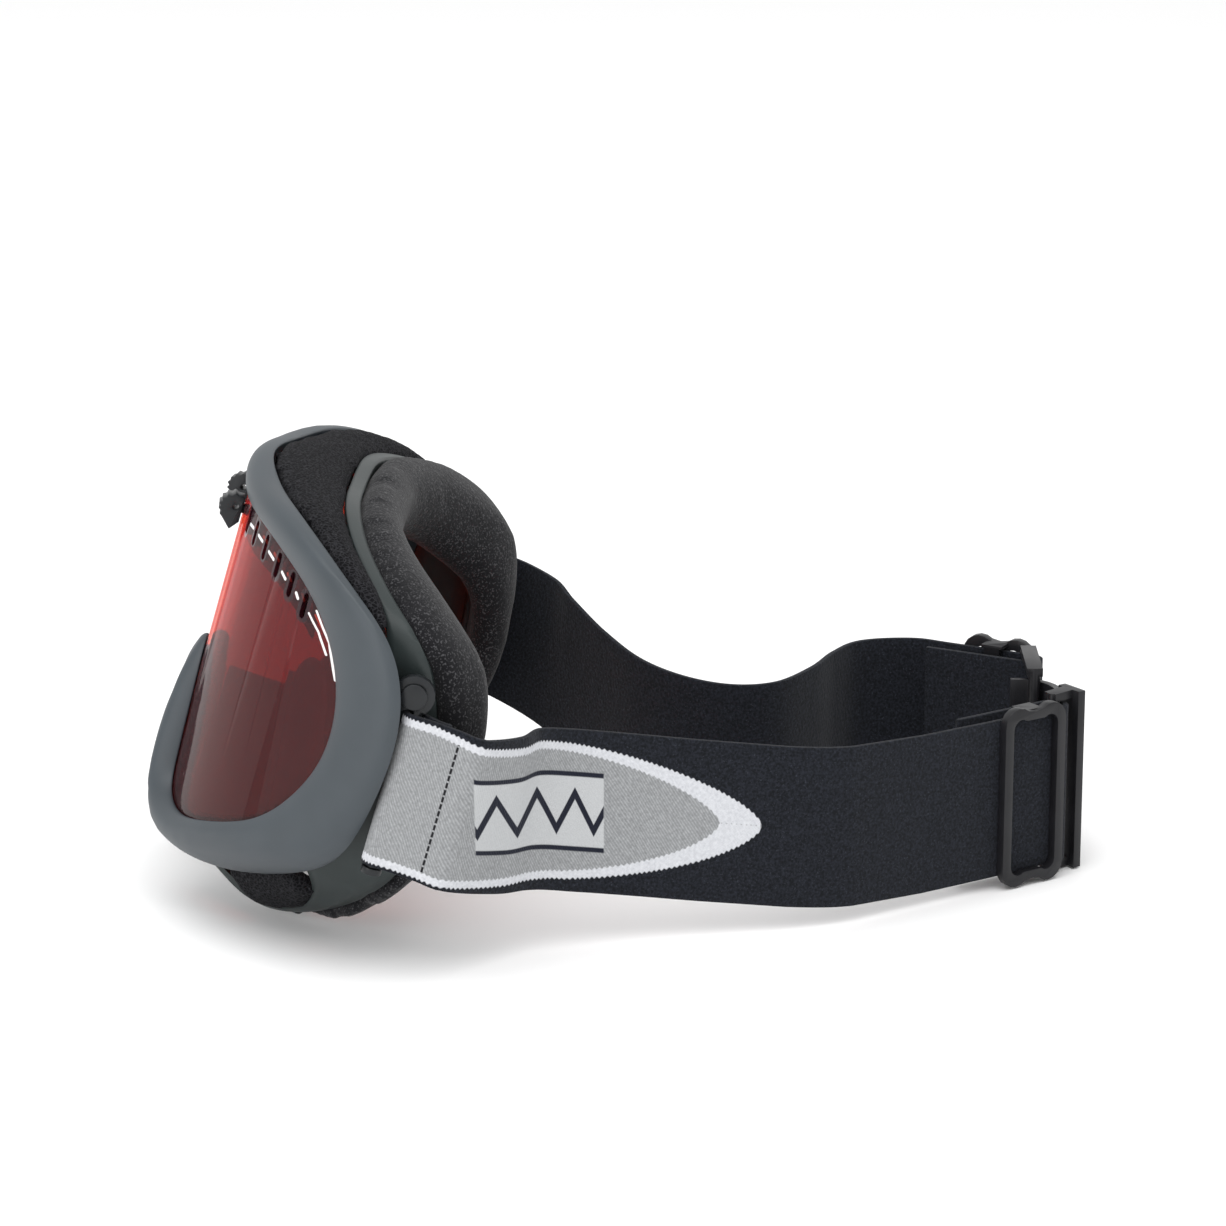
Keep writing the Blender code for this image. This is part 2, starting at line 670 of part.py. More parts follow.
def make_pivot_pin(name, side):
    """Headed pin that holds the outrigger to the frame's lug."""
    def at(x):
        return mask_point(side * (ANCHOR_X + x), PIVOT_H, PIVOT_D)

    pin = rod(name, at(-7.6), at(1.7), PIVOT_PIN_RADIUS, 16, at(0.0))
    head = rod("head", at(1.5), at(2.3), 3.2, 20)
    combine(pin, [head], "UNION")
    return finish(pin, "pin")


# ---- head strap -----------------------------------------------------------------------
class RearRun:
    """The straight rear run of one strap half, seen from above."""

    def __init__(self, start, heading_deg, side, slider_at, bar_at, tail_at):
        self.start = Vector(start)
        heading = math.radians(heading_deg)
        self.along = Vector((math.sin(heading), math.cos(heading)))
        self.out = Vector((self.along.y, -self.along.x)) * side
        self.side = side
        self.slider_at = slider_at
        self.bar_at = bar_at
        self.tail_at = tail_at

    def plan(self, t, n):
        """Plan point at a distance along the run and out from the strap's middle."""
        return self.start + self.along * t + self.out * n

    def point(self, t, n, z):
        spot = self.plan(t, n)
        return Vector((spot.x, spot.y, z))

    def axis(self):
        return Vector((self.along.x, self.along.y, 0.0))

    def normal(self):
        return Vector((self.out.x, self.out.y, 0.0))


# Plan points (x, y, middle height) of each strap half behind its straight start.
Y0 = LENS_FOOT_Y + 8.6           # the paths below are counted from here
LEFT_RUN = RearRun((10.0, 209.0 + Y0), -36.87, 1, 4.2, 25.5, -4.0)
RIGHT_RUN = RearRun((-60.0, 212.0 + Y0), 26.7, -1, -6.4, 14.5, -14.0)
LEFT_PATH = ((71.5, 91.0, 39.0), (62.0, 97.0, 37.6), (56.0, 106.0, 35.4), (51.0, 120.0, 32.8),
             (46.5, 137.0, 30.0), (41.5, 158.0, 27.0), (34.5, 175.0, 25.0))
RIGHT_PATH = ((-73.5, 92.0, 39.5), (-64.0, 99.0, 36.0), (-51.0, 108.5, 31.0), (-37.0, 119.0, 27.0),
              (-27.0, 131.0, 25.0), (-22.5, 144.0, 24.0), (-25.5, 156.0, 24.0), (-40.0, 165.5, 24.0),
              (-55.0, 171.5, 24.0), (-66.0, 179.0, 24.0))
RUN_STRAIGHT = {1: -20.0, -1: -21.0}
RUN_BEND = 0.6                   # the strap's free flat starts this far inboard of its run
FLAT_END = 3.0                   # and ends this far ahead of the slider


def strap_stations(side):
    """Centre, half-width vector and plan point of the strap, from its front end to its tail."""
    run = LEFT_RUN if side > 0 else RIGHT_RUN
    bend = ANCHOR_BAR_RADIUS + GAP + STRAP_THICK / 2
    outer_x = ANCHOR_X + bend
    tucked_x = outer_x - STRAP_THICK - GAP
    front = [(tucked_x, ANCHOR_D + 9.0), (tucked_x, ANCHOR_D + 5.5), (tucked_x - 1.1, ANCHOR_D + 3.0),
             (ANCHOR_X - bend, ANCHOR_D + 0.6)]
    for a in range(180, 361, 30):
        turn = math.radians(a)
        front.append((ANCHOR_X + bend * math.cos(turn), ANCHOR_D + bend * math.sin(turn)))
    front += [(outer_x, ANCHOR_D + 5.0), (outer_x + 0.2, ANCHOR_D + 11.0), (outer_x + 0.3, ANCHOR_D + 18.0)]
    rows = []
    for x, d in front:
        centre = mask_point(side * x, 66.1 - max(d - 60.0, 0.0) * 0.06, d)
        rows.append((centre, LEAN_UP * (STRAP_FRONT_WIDTH / 2)))
    first = rows[-1][0]
    path = LEFT_PATH if side > 0 else RIGHT_PATH
    begin = run.point(RUN_STRAIGHT[side], -RUN_BEND, STRAP_REAR_MID_Z)
    near = run.point(RUN_STRAIGHT[side] + 4.0, -RUN_BEND, STRAP_REAR_MID_Z)
    knots = [tuple(rows[-2][0]), tuple(first)]
    knots += [(x, y + Y0, z) for x, y, z in path]
    knots += [tuple(begin), tuple(near)]
    smooth = smooth_path(knots, 2)[3:-3]
    for k, spot in enumerate(smooth):
        share = min(k / 5.0, 1.0)
        width = STRAP_FRONT_WIDTH + (STRAP_REAR_WIDTH - STRAP_FRONT_WIDTH) * share
        up = LEAN_UP.lerp(Vector((0.0, 0.0, 1.0)), share).normalized()
        rows.append((Vector(spot), up * (width / 2)))
    half = Vector((0.0, 0.0, STRAP_REAR_WIDTH / 2))
    rows.append((begin, half))
    rows.append((run.point(run.slider_at - FLAT_END, 0.0, STRAP_REAR_MID_Z), half))
    rows.append((run.point(run.bar_at, 0.0, STRAP_REAR_MID_Z), half))
    for a in range(60, -90, -30):
        turn = math.radians(a)
        t = run.bar_at + LAYER_GAP / 2 * math.cos(turn)
        n = -LAYER_GAP / 2 + LAYER_GAP / 2 * math.sin(turn)
        rows.append((run.point(t, n, STRAP_REAR_MID_Z), half))
    rows.append((run.point(run.bar_at, -LAYER_GAP, STRAP_REAR_MID_Z), half))
    rows.append((run.point(run.tail_at, -LAYER_GAP, STRAP_REAR_MID_Z), half))
    return rows


def make_strap(name, side):
    """One half of the head strap: looped round its outrigger bar and round its clip bar."""
    rows = strap_stations(side)
    sections = []
    last = len(rows) - 1
    for i, (centre, half) in enumerate(rows):
        ahead = rows[min(i + 1, last)][0] - centre
        behind = centre - rows[max(i - 1, 0)][0]
        along = (ahead.normalized() if ahead.length > 0 else Vector()) + \
                (behind.normalized() if behind.length > 0 else Vector())
        across = along.cross(half).normalized() * (STRAP_THICK / 2)
        sections.append([centre - half - across, centre - half + across,
                         centre + half + across, centre + half - across])
    origin = mask_point(side * ANCHOR_X, PIVOT_H, PIVOT_D)
    return finish(loft_object(name, sections, closed=False, origin=origin), "strap")


# ---- sliders --------------------------------------------------------------------------
def slider_outline(width, height, lobe, dip):
    """Upright plate outline with two rounded lobes at each end."""
    outline = []
    half = width / 2
    for centre in (half - lobe, -(half - lobe)):
        for k in range(7):
            low, high = (0.0, 0.72) if centre > 0 else (0.28, 1.0)
            turn = math.pi * (low + (high - low) * k / 6)
            outline.append((centre + lobe * math.cos(turn), height / 2 - lobe + lobe * math.sin(turn)))
        if centre > 0:
            outline.append((0.0, height / 2 - dip))
    outline += [(-a, -b) for a, b in outline]
    return outline


def make_slider(name, run):
    """Length adjuster: a tall frame outside the strap and a bar between its two layers."""
    middle = run.slider_at + SLIDER_WIDTH / 2
    mid_z = SLIDER_HEIGHT / 2
    out = run.normal()
    clear = STRAP_THICK / 2 + GAP
    origin = run.point(middle, 0.0, mid_z)

    def place(t, z):
        return run.point(middle + t, 0.0, mid_z + z)

    plate = prism(name, slider_outline(SLIDER_WIDTH, SLIDER_HEIGHT, 4.6, 1.5), place, out,
                  clear, clear + SLIDER_PLATE, origin)
    window = slider_outline(SLIDER_WIDTH - 2 * SLIDER_BAR, SLIDER_HEIGHT - 6.0, 2.6, 0.6)
    combine(plate, [prism("window", window, place, out, -8.0, 8.0)], "DIFFERENCE")
    back = -(clear + 2.0)
    extra = []
    for end in (1, -1):
        low = STRAP_REAR_WIDTH / 2 + 0.9
        high = SLIDER_HEIGHT / 2 - 1.2
        ends = [(-3.0, end * low), (3.0, end * low), (3.0, end * high), (-3.0, end * high)]
        extra.append(prism("end", ends, place, out, back, clear + 1.0))
    bar = [(-2.2, -22.6), (2.2, -22.6), (2.2, 22.6), (-2.2, 22.6)]
    extra.append(prism("bar", bar, place, out, back, -clear))
    combine(plate, extra, "UNION")
    return finish(plate, "fitting")


# ---- rear clip ------------------------------------------------------------------------
RAIL_LOW = 2.2                   # height of each rail of the two clip halves
CATCH_BAR = Vector((-31.0, 224.0 + Y0))
CLIP_BAR_RADIUS = 1.7
HOOK_PATH = ((-22.5, 230.8), (-30.3, 228.6), (-34.8, 224.0), (-35.4, 218.0))


def upright(name, outline, low, high, origin=(0.0, 0.0, 0.0)):
    """A prism that stands on a plan outline."""
    def place(x, y):
        return Vector((x, y, 0.0))
    return prism(name, outline, place, Vector((0.0, 0.0, 1.0)), low, high, origin)


def band_outline(path, thick):
    """Plan outline of a bent band, rounded off at its tip."""
    smooth = [Vector(p) for p in smooth_path(path, 3)]
    left = []
    right = []
    last = len(smooth) - 1
    for i, spot in enumerate(smooth):
        along = (smooth[min(i + 1, last)] - smooth[max(i - 1, 0)]).normalized()
        across = Vector((-along.y, along.x)) * (thick / 2 * (1.0 - 0.35 * i / last))
        left.append(spot + across)
        right.append(spot - across)
    return [tuple(p) for p in left] + [tuple(p) for p in reversed(right)]


def rail(name, ends, half, low, high):
    """A flat link between two plan points."""
    a, b = ends
    along = (b - a).normalized()
    across = Vector((-along.y, along.x)) * half
    outline = [a - across, b - across, b + across, a + across]
    return upright(name, [tuple(p) for p in outline], low, high)


def make_clip_hook():
    """Hook half of the clip: it turns on its bar in the left strap's end fold."""
    run = LEFT_RUN
    pivot = run.plan(run.bar_at, -LAYER_GAP / 2)
    base = Vector((pivot.x, pivot.y, 0.0))
    top = SLIDER_HEIGHT
    hook = rod("clip_hook", base, base + Vector((0.0, 0.0, top)), CLIP_BAR_RADIUS, 12, base)
    plate_mid = run.plan(32.2, -4.4)
    extra = []
    for low, high in ((0.0, RAIL_LOW), (top - RAIL_LOW, top)):
        extra.append(rail("rail", (pivot - run.along * 1.2, plate_mid), 1.9, low, high))
    inner = plate_mid - run.out * 3.4
    outer = plate_mid + run.out * 4.6
    extra.append(rail("plate", (inner, outer), 1.15, 0.0, top))
    path = [tuple(inner + run.out * 0.6)] + [(x, y + Y0) for x, y in HOOK_PATH]
    prong = band_outline(path, 2.4)
    for low, high in ((4.5, 15.5), (top - 15.5, top - 4.5)):
        extra.append(upright("prong", prong, low, high))
    combine(hook, extra, "UNION")
    return finish(hook, "fitting")


def make_clip_catch():
    """Catch half of the clip: a frame on the right strap with the bar that the hook takes."""
    run = RIGHT_RUN
    pivot = run.plan(run.bar_at, -LAYER_GAP / 2)
    base = Vector((pivot.x, pivot.y, 0.0))
    top = SLIDER_HEIGHT
    catch = rod("clip_catch", base, base + Vector((0.0, 0.0, top)), CLIP_BAR_RADIUS, 12, base)
    far = Vector((CATCH_BAR.x, CATCH_BAR.y, 0.0))
    extra = [rod("bar", far, far + Vector((0.0, 0.0, top)), 1.6, 12)]
    link = (CATCH_BAR - pivot).normalized()
    for low, high in ((0.0, RAIL_LOW), (top - RAIL_LOW, top)):
        extra.append(rail("rail", (pivot - link * 1.4, CATCH_BAR + link * 1.3), 2.1, low, high))
    combine(catch, extra, "UNION")
    return finish(catch, "fitting")


# ---- the whole object -----------------------------------------------------------------
def clear_scene():
    for obj in list(bpy.data.objects):
        bpy.data.objects.remove(obj, do_unlink=True)


def main():
    clear_scene()
    loop = station_loop()
    make_rim(loop)
    make_outer_lens(loop)
    make_inner_lens(loop)
    make_gasket(loop)
    make_frame_body(loop)
    make_vent_foam("top_vent_foam", loop, -3.7, 3.7)
    make_face_foam(loop)
    make_fleece(loop)
    for side, hand in ((1, "left"), (-1, "right")):
        low, high = sorted((side * 7.5, side * 8.7))
        make_vent_foam("bottom_vent_foam_" + hand, loop, low, high)
        make_shutter("vent_shutter_" + hand, side, loop)
        make_lever("vent_lever_" + hand, side)
        make_outrigger("outrigger_" + hand, side)
        make_pivot_pin("pivot_pin_" + hand, side)
        make_strap("strap_" + hand, side)
    make_slider("slider_left", LEFT_RUN)
    make_slider("slider_right", RIGHT_RUN)
    make_clip_hook()
    make_clip_catch()


main()
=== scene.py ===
# %% [markdown]
# # Ski goggles
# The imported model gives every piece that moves, fits or carries load.  This lesson turns
# those plain solids into what the eye sees: a moulded frame, a tinted double lens, open-cell
# foam, fleece and a knitted elastic strap.  The mask faces -Y, the strap runs back to +Y.
#
# Every look piece could be modelled afresh.  Most are made from a copy of the plain solid
# instead, so that they keep its fit, and only the straps are laid out anew, because woven
# webbing needs even rows that follow its length.

import json
import math

import bmesh
import bpy
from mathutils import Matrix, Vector

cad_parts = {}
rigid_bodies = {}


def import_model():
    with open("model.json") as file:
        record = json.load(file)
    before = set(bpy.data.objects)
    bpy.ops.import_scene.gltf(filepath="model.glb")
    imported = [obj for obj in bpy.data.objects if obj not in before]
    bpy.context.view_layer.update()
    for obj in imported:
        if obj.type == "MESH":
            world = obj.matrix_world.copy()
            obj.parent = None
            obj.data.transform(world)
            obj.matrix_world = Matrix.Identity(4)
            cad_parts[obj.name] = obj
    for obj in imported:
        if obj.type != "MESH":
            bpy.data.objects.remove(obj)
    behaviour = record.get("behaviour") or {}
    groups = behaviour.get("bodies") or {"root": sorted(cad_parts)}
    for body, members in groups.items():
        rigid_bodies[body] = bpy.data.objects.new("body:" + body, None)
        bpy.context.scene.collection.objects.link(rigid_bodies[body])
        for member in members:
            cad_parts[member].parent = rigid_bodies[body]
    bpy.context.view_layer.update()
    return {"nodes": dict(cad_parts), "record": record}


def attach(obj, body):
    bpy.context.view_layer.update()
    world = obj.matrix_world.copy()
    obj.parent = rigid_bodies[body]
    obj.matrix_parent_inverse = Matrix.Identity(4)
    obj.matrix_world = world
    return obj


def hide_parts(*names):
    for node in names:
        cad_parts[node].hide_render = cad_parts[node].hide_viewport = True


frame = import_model()
MM = 0.001
print("loaded", len(frame["nodes"]), "pieces")

# %% [markdown]
# ## Directions of the mask
# The mask leans back on its lower edge, so its points are easiest to give in its own
# directions: x across the face, h up along the leaning lens and d back from it.  The mask
# could be modelled upright and turned afterwards, but then the straps, which leave it at the
# lean and end upright, would need both.  One helper turns x, h and d into the part's frame.

# %% Directions of the mask
LEAN = math.radians(16.2)
FOOT = Vector((0.0, -123.9, 0.8))          # where x, h and d are all 0, in millimetres
UP = Vector((0.0, math.sin(LEAN), math.cos(LEAN)))
BACK = Vector((0.0, math.cos(LEAN), -math.sin(LEAN)))


def mask_point(x, h, d):
    return FOOT + Vector((x, 0.0, 0.0)) + UP * h + BACK * d


print("the mask leans back", round(math.degrees(LEAN), 1), "degrees")

# %% [markdown]
# ## Shader arithmetic
# A finish could be wired node by node, but it is easier to read as arithmetic, so a socket is
# wrapped in a small class whose operators add Math nodes.  Every other node comes from one
# method of a second class, which also keeps the material and its shader together.

# %% A socket that can be added and multiplied
class Value:
    def __init__(self, tree, socket):
        self.tree = tree
        self.socket = socket

    def math(self, operation, *others):
        made = self.tree.nodes.new("ShaderNodeMath")
        made.operation = operation
        for place, item in enumerate((self,) + others):
            if isinstance(item, Value):
                self.tree.links.new(item.socket, made.inputs[place])
            else:
                made.inputs[place].default_value = item
        return Value(self.tree, made.outputs[0])

    def lift(self, number):
        made = self.tree.nodes.new("ShaderNodeValue")
        made.outputs[0].default_value = number
        return Value(self.tree, made.outputs[0])

    def __add__(self, other):
        return self.math("ADD", other)

    def __radd__(self, other):
        return self.math("ADD", other)

    def __sub__(self, other):
        return self.math("SUBTRACT", other)

    def __rsub__(self, other):
        return self.lift(other).math("SUBTRACT", self)

    def __mul__(self, other):
        return self.math("MULTIPLY", other)

    def __rmul__(self, other):
        return self.math("MULTIPLY", other)

    def __truediv__(self, other):
        return self.math("DIVIDE", other)

    def __abs__(self):
        return self.math("ABSOLUTE")

    def over(self, edge, soft=0.15):
        """0 below the edge, 1 above it, with a soft step between."""
        return ((self - edge) / soft + 0.5).math("MAXIMUM", 0.0).math("MINIMUM", 1.0)

    def under(self, edge, soft=0.15):
        return 1.0 - self.over(edge, soft)

    def least(self, other):
        return self.math("MINIMUM", other)

    def most(self, other):
        return self.math("MAXIMUM", other)


print("arithmetic on sockets ready")


# %% One material and its nodes
class Finish:
    """One material: its shader, its nodes and its coordinates."""

    def __init__(self, name, **settings):
        self.material = bpy.data.materials.new(name)
        self.material.use_nodes = True
        self.tree = self.material.node_tree
        self.shader = self.tree.nodes["Principled BSDF"]
        for key, number in settings.items():
            socket = key.replace("_", " ").title().replace("Ior", "IOR")
            self.shader.inputs[socket].default_value = number

    def node(self, kind, settings=None, output=0, **inputs):
        made = self.tree.nodes.new(kind)
        for key, setting in (settings or {}).items():
            setattr(made, key, setting)
        for key, item in inputs.items():
            name = int(key[1:]) if key[1:].isdigit() else key.replace("_", " ")
            place = made.inputs[name]
            if isinstance(item, Value):
                self.tree.links.new(item.socket, place)
            else:
                place.default_value = item
        return Value(self.tree, made.outputs[output])

    def place(self):
        """Object coordinates as a vector."""
        return self.node("ShaderNodeTexCoord", output=3)

    def axes(self, vector=None, scale=1000.0):
        """x, y and z of a vector, in millimetres unless another scale is given."""
        split = self.tree.nodes.new("ShaderNodeSeparateXYZ")
        self.tree.links.new((vector or self.place()).socket, split.inputs[0])
        return [Value(self.tree, socket) * scale for socket in split.outputs]

    def noise(self, scale, detail=2.0, vector=None):
        return self.node("ShaderNodeTexNoise", output=0, Vector=vector or self.place(),
                         Scale=scale, Detail=detail)

    def mix(self, factor, first, second):
        return self.node("ShaderNodeMix", {"data_type": "RGBA"}, output=2,
                         _0=factor, _6=first, _7=second)

    def colour(self, value):
        self.tree.links.new(value.socket, self.shader.inputs["Base Color"])

    def feed(self, name, value):
        self.tree.links.new(value.socket, self.shader.inputs[name])

    def bump(self, height, strength, distance):
        lifted = self.node("ShaderNodeBump", Strength=strength, Distance=distance, Height=height)
        self.tree.links.new(lifted.socket, self.shader.inputs["Normal"])

    def see_through(self, share, tint):
        """Lets a share of the light straight through, tinted."""
        clear = self.tree.nodes.new("ShaderNodeBsdfTransparent")
        clear.inputs[0].default_value = tint
        both = self.tree.nodes.new("ShaderNodeMixShader")
        if isinstance(share, Value):
            self.tree.links.new(share.socket, both.inputs[0])
        else:
            both.inputs[0].default_value = share
        self.tree.links.new(self.shader.outputs[0], both.inputs[1])
        self.tree.links.new(clear.outputs[0], both.inputs[2])
        self.tree.links.new(both.outputs[0], self.tree.nodes["Material Output"].inputs[0])


print("materials ready to be made")


# %% [markdown]
# ## Moulded plastics
# The rim is satin blue-grey, the band behind it darker, and the fittings are black.  A flat
# colour would look like paint.  Moulded plastic is never one value: its sheen wavers a little
# and its surface carries a very fine grain from the mould.  Two noises give both, a broad one
# in the colour and roughness and a fine one in the bump, and they need no unwrapping.

# %% Moulded plastics
def frame_plastic():
    made = Finish("frame_plastic", roughness=0.5)
    cloud = made.noise(60.0, 4.0)
    grain = made.noise(2600.0, 2.0)
    made.colour(made.mix(cloud, (0.028, 0.036, 0.043, 1), (0.048, 0.060, 0.070, 1)))
    made.feed("Roughness", 0.42 + cloud * 0.12)
    made.bump(grain, 0.12, 0.00015)
    return made.material


def fitting_plastic(name, dark, light, rough):
    made = Finish(name, roughness=rough, specular_ior_level=0.3)
    cloud = made.noise(140.0, 3.0)
    made.colour(made.mix(cloud, dark + (1,), light + (1,)))
    made.feed("Roughness", rough + cloud * 0.12)
    made.bump(made.noise(3200.0, 2.0), 0.1, 0.0001)
    return made.material


FRAME_PLASTIC = frame_plastic()
BAND_PLASTIC = fitting_plastic("band_plastic", (0.018, 0.024, 0.024), (0.032, 0.041, 0.041), 0.36)
FITTING_PLASTIC = fitting_plastic("fitting_plastic", (0.007, 0.007, 0.008), (0.017, 0.017, 0.020), 0.3)
KNOB_PLASTIC = fitting_plastic("knob_plastic", (0.008, 0.009, 0.010), (0.020, 0.022, 0.025), 0.25)
print("plastics ready")

# %% [markdown]
# ## Tinted lens
# The outer lens is dyed rose.  It is a little lighter towards the top, and a painted reflection
# makes it much lighter towards the middle, where the lens curves away at a glancing angle.
# Along its top edge run the vent slots, each with a dark printed ring, short white dashes
# between them, and a fine white line that follows the shoulder.  The print could be a picture
# laid on the lens, but drawn from the distance to short lines it stays sharp from near by and
# follows the lens's own width and height.  A refracting shader could carry the tint.  Here a
# share of the light goes straight through, tinted, which is simpler and keeps what lies behind
# two lenses clear.

# %% Where the lens is printed
# Middles of the vent slots as (x, h) on the wearer's left.  The right is their mirror image.
VENTS = ((24.0, 104.1), (32.4, 104.7), (40.7, 104.0), (48.6, 102.3), (55.3, 100.2), (61.0, 98.0))
SLOT_REACH = 2.4                 # half the length of a slot's ring between its round ends
RING_WIDE = 1.75                 # how far the dark ring reaches from the slot's middle line
DASH_WIDE = 0.42                 # half the width of a white dash
FINE_LINE = 0.12                 # how much narrower the shoulder lines are
SHOULDER_LINES = (((62.8, 97.0), (66.4, 94.2)), ((66.4, 94.2), (69.4, 90.2)),
                  ((64.6, 98.6), (69.4, 93.2)), ((69.4, 93.2), (72.6, 85.6)))
print(len(VENTS), "slots and", len(SHOULDER_LINES), "fine lines on each side of the lens")


# %% Finishes of the two lenses
def segment(x, h, start, end):
    """Distance in the lens plane from a short straight line."""
    run = (end[0] - start[0], end[1] - start[1])
    length = run[0] ** 2 + run[1] ** 2
    along = ((x - start[0]) * run[0] + (h - start[1]) * run[1]) / length
    along = along.most(0.0).least(1.0)
    off_x = x - start[0] - along * run[0]
    off_h = h - start[1] - along * run[1]
    return (off_x * off_x + off_h * off_h).math("SQRT")


def lens_print(x, h):
    """Masks of the white dashes and of the dark rings round the slots."""
    ring = None
    dash = None
    for i, (vx, vh) in enumerate(VENTS):
        near = segment(x, h, (vx, vh - SLOT_REACH), (vx, vh + SLOT_REACH))
        ring = near if ring is None else ring.least(near)
        if i + 1 < len(VENTS):
            far_x, far_h = VENTS[i + 1]
            start = (vx + SLOT_REACH, vh + (far_h - vh) * 0.3)
            end = (far_x - SLOT_REACH, vh + (far_h - vh) * 0.7)
            near = segment(x, h, start, end)
            dash = near if dash is None else dash.least(near)
    for line in SHOULDER_LINES:
        dash = dash.least(segment(x, h, *line) + FINE_LINE)
    return dash.under(DASH_WIDE, 0.12), ring.under(RING_WIDE, 0.2)


def rose_lens():
    made = Finish("rose_lens", roughness=0.09, specular_ior_level=0.3,
                  coat_weight=0.25, coat_roughness=0.04)
    x, y, z = made.axes()
    x = abs(x)
    h = (y - FOOT.y) * math.sin(LEAN) + (z - FOOT.z) * math.cos(LEAN)
    white, dark = lens_print(x, h)
    fade = made.noise(9.0, 2.0)
    high = ((h - 50.0) / 60.0).most(0.0).least(1.0)
    # Painted reflection: the colour turns much lighter towards the lens's middle, where it curves away
    # at a glancing angle.
    front = (1.0 - x / 44.0).most(0.0)
    base = made.mix(high, (0.040, 0.012, 0.013, 1), (0.060, 0.032, 0.037, 1))
    base = made.mix((front * front * 0.6 + fade * 0.12).least(1.0), base, (0.28, 0.16, 0.18, 1))
    base = made.mix(dark, base, (0.02, 0.006, 0.01, 1))
    base = made.mix(white, base, (0.85, 0.83, 0.82, 1))
    made.colour(base)
    dust = made.noise(900.0, 1.0).over(0.74, 0.04)
    made.feed("Roughness", 0.08 + dust * 0.3)
    solid = (dark * 0.75).most(white).most(dust * 0.25)
    made.see_through((1.0 - solid) * 0.62, (1.0, 0.27, 0.15, 1))
    return made.material


def clear_lens():
    made = Finish("clear_lens", roughness=0.08, specular_ior_level=0.2)
    smear = made.noise(30.0, 3.0)
    made.colour(made.mix(smear, (0.20, 0.15, 0.14, 1), (0.30, 0.24, 0.23, 1)))
    made.feed("Roughness", 0.07 + smear * 0.08)
    made.see_through(0.88, (0.96, 0.88, 0.86, 1))
    return made.material


ROSE_LENS = rose_lens()
CLEAR_LENS = clear_lens()
print("lens finishes ready")

# %% [markdown]
# ## Foam and fleece
# Reticulated vent foam is a black open mesh of cells.  The face cushion is closed foam under
# a brushed fleece: darker, softer, with pale lint on it.  Modelling cells or fibres would
# take millions of faces that nobody sees from a step away, so a cell pattern and a tuft noise
# in the bump stand in for them, and a sparse noise in the colour gives the lint.  The hollows
# of the foam's cells are painted darker than their walls, as painted shade inside the cells.

# %% Foam and fleece
def open_foam():
    made = Finish("open_foam", roughness=0.95, specular_ior_level=0.15)
    cells = made.node("ShaderNodeTexVoronoi", {"feature": "DISTANCE_TO_EDGE"},
                      Vector=made.place(), Scale=900.0)
    lint = made.noise(1500.0, 3.0).over(0.62, 0.06)
    wall = cells.under(0.12, 0.1)
    # Painted shade: the hollows between the cell walls get the darker colour.
    base = made.mix(wall, (0.003, 0.003, 0.004, 1), (0.020, 0.020, 0.023, 1))
    made.colour(made.mix(lint * 0.35, base, (0.07, 0.07, 0.075, 1)))
    made.bump(wall, 0.9, 0.0006)
    return made.material


def fleece():
    made = Finish("fleece", roughness=1.0, sheen_weight=0.12, sheen_roughness=0.5,
                  specular_ior_level=0.1)
    tuft = made.noise(700.0, 5.0)
    cloud = made.noise(110.0, 3.0)
    lint = made.noise(1900.0, 2.0).over(0.60, 0.08)
    base = made.mix(cloud, (0.005, 0.005, 0.006, 1), (0.014, 0.014, 0.016, 1))
    made.colour(made.mix(lint * 0.55, base, (0.10, 0.10, 0.105, 1)))
    made.bump(tuft, 0.8, 0.0004)
    return made.material


OPEN_FOAM = open_foam()
FLEECE = fleece()
print("foams ready")

# %% [markdown]
# ## Strap webbing
# The elastic is black with a fuzzy nap.  A heather-grey knit panel with a saw-toothed white
# edge is woven into the outer face of the left half.  It ends in a bullet point, and a plain
# zigzag between two lines stands on it.  The panel could be a second strip laid on the first,
# but woven in it has no thickness of its own, so it is a mask in the strap's one material,
# kept to the outer face by an attribute of the mesh.
#
# v is the height across the strap, from -1 to 1.  y is how far back a point lies, in
# millimetres.  length runs along the webbing from its tucked end; it is only about a
# millimetre scale, because the rows of the mesh lie closer together in the tight turns.

# %% Measures of the woven panel
HALF_WIDTH = 21.0                # half the width of the webbing
PANEL_FULL = -15.0               # y where the panel starts to narrow
PANEL_TIP = 37.0                 # y of its point
PANEL_HALF = 0.84                # half its height in v
CORE_INSET = 0.085               # width of the white edge in v
FLARE_REACH = 26.0               # the panel grows a little taller over this length
FLARE = 0.13
ZIGZAG_MIDDLE = -17.0            # y of the middle of the zigzag
ZIGZAG_REACH = 15.0              # half its length
ZIGZAG_STEP = 9.0                # length of one of its teeth
RAIL_HALF = 0.46                 # the two lines beside it, in v
STITCH_AT = 36.0                 # length at which the seam crosses the panel
print("the panel narrows over", PANEL_TIP - PANEL_FULL, "mm")


# %% Webbing
def bullet(taper):
    """Half height of the panel: full, then rounding off to nothing where taper reaches 1."""
    return (1.0 - taper.most(0.0).least(1.0).math("POWER", 1.6)).math("POWER", 0.65)


def black_elastic(made):
    """Colour of the plain black knit: a fuzzy nap with bluish lint."""
    nap = made.noise(1500.0, 3.0).over(0.52, 0.3)
    lint = made.noise(2300.0, 2.0).over(0.66, 0.05)
    black = made.mix(nap, (0.003, 0.004, 0.006, 1), (0.014, 0.016, 0.023, 1))
    return made.mix(lint * 0.5, black, (0.045, 0.050, 0.065, 1))


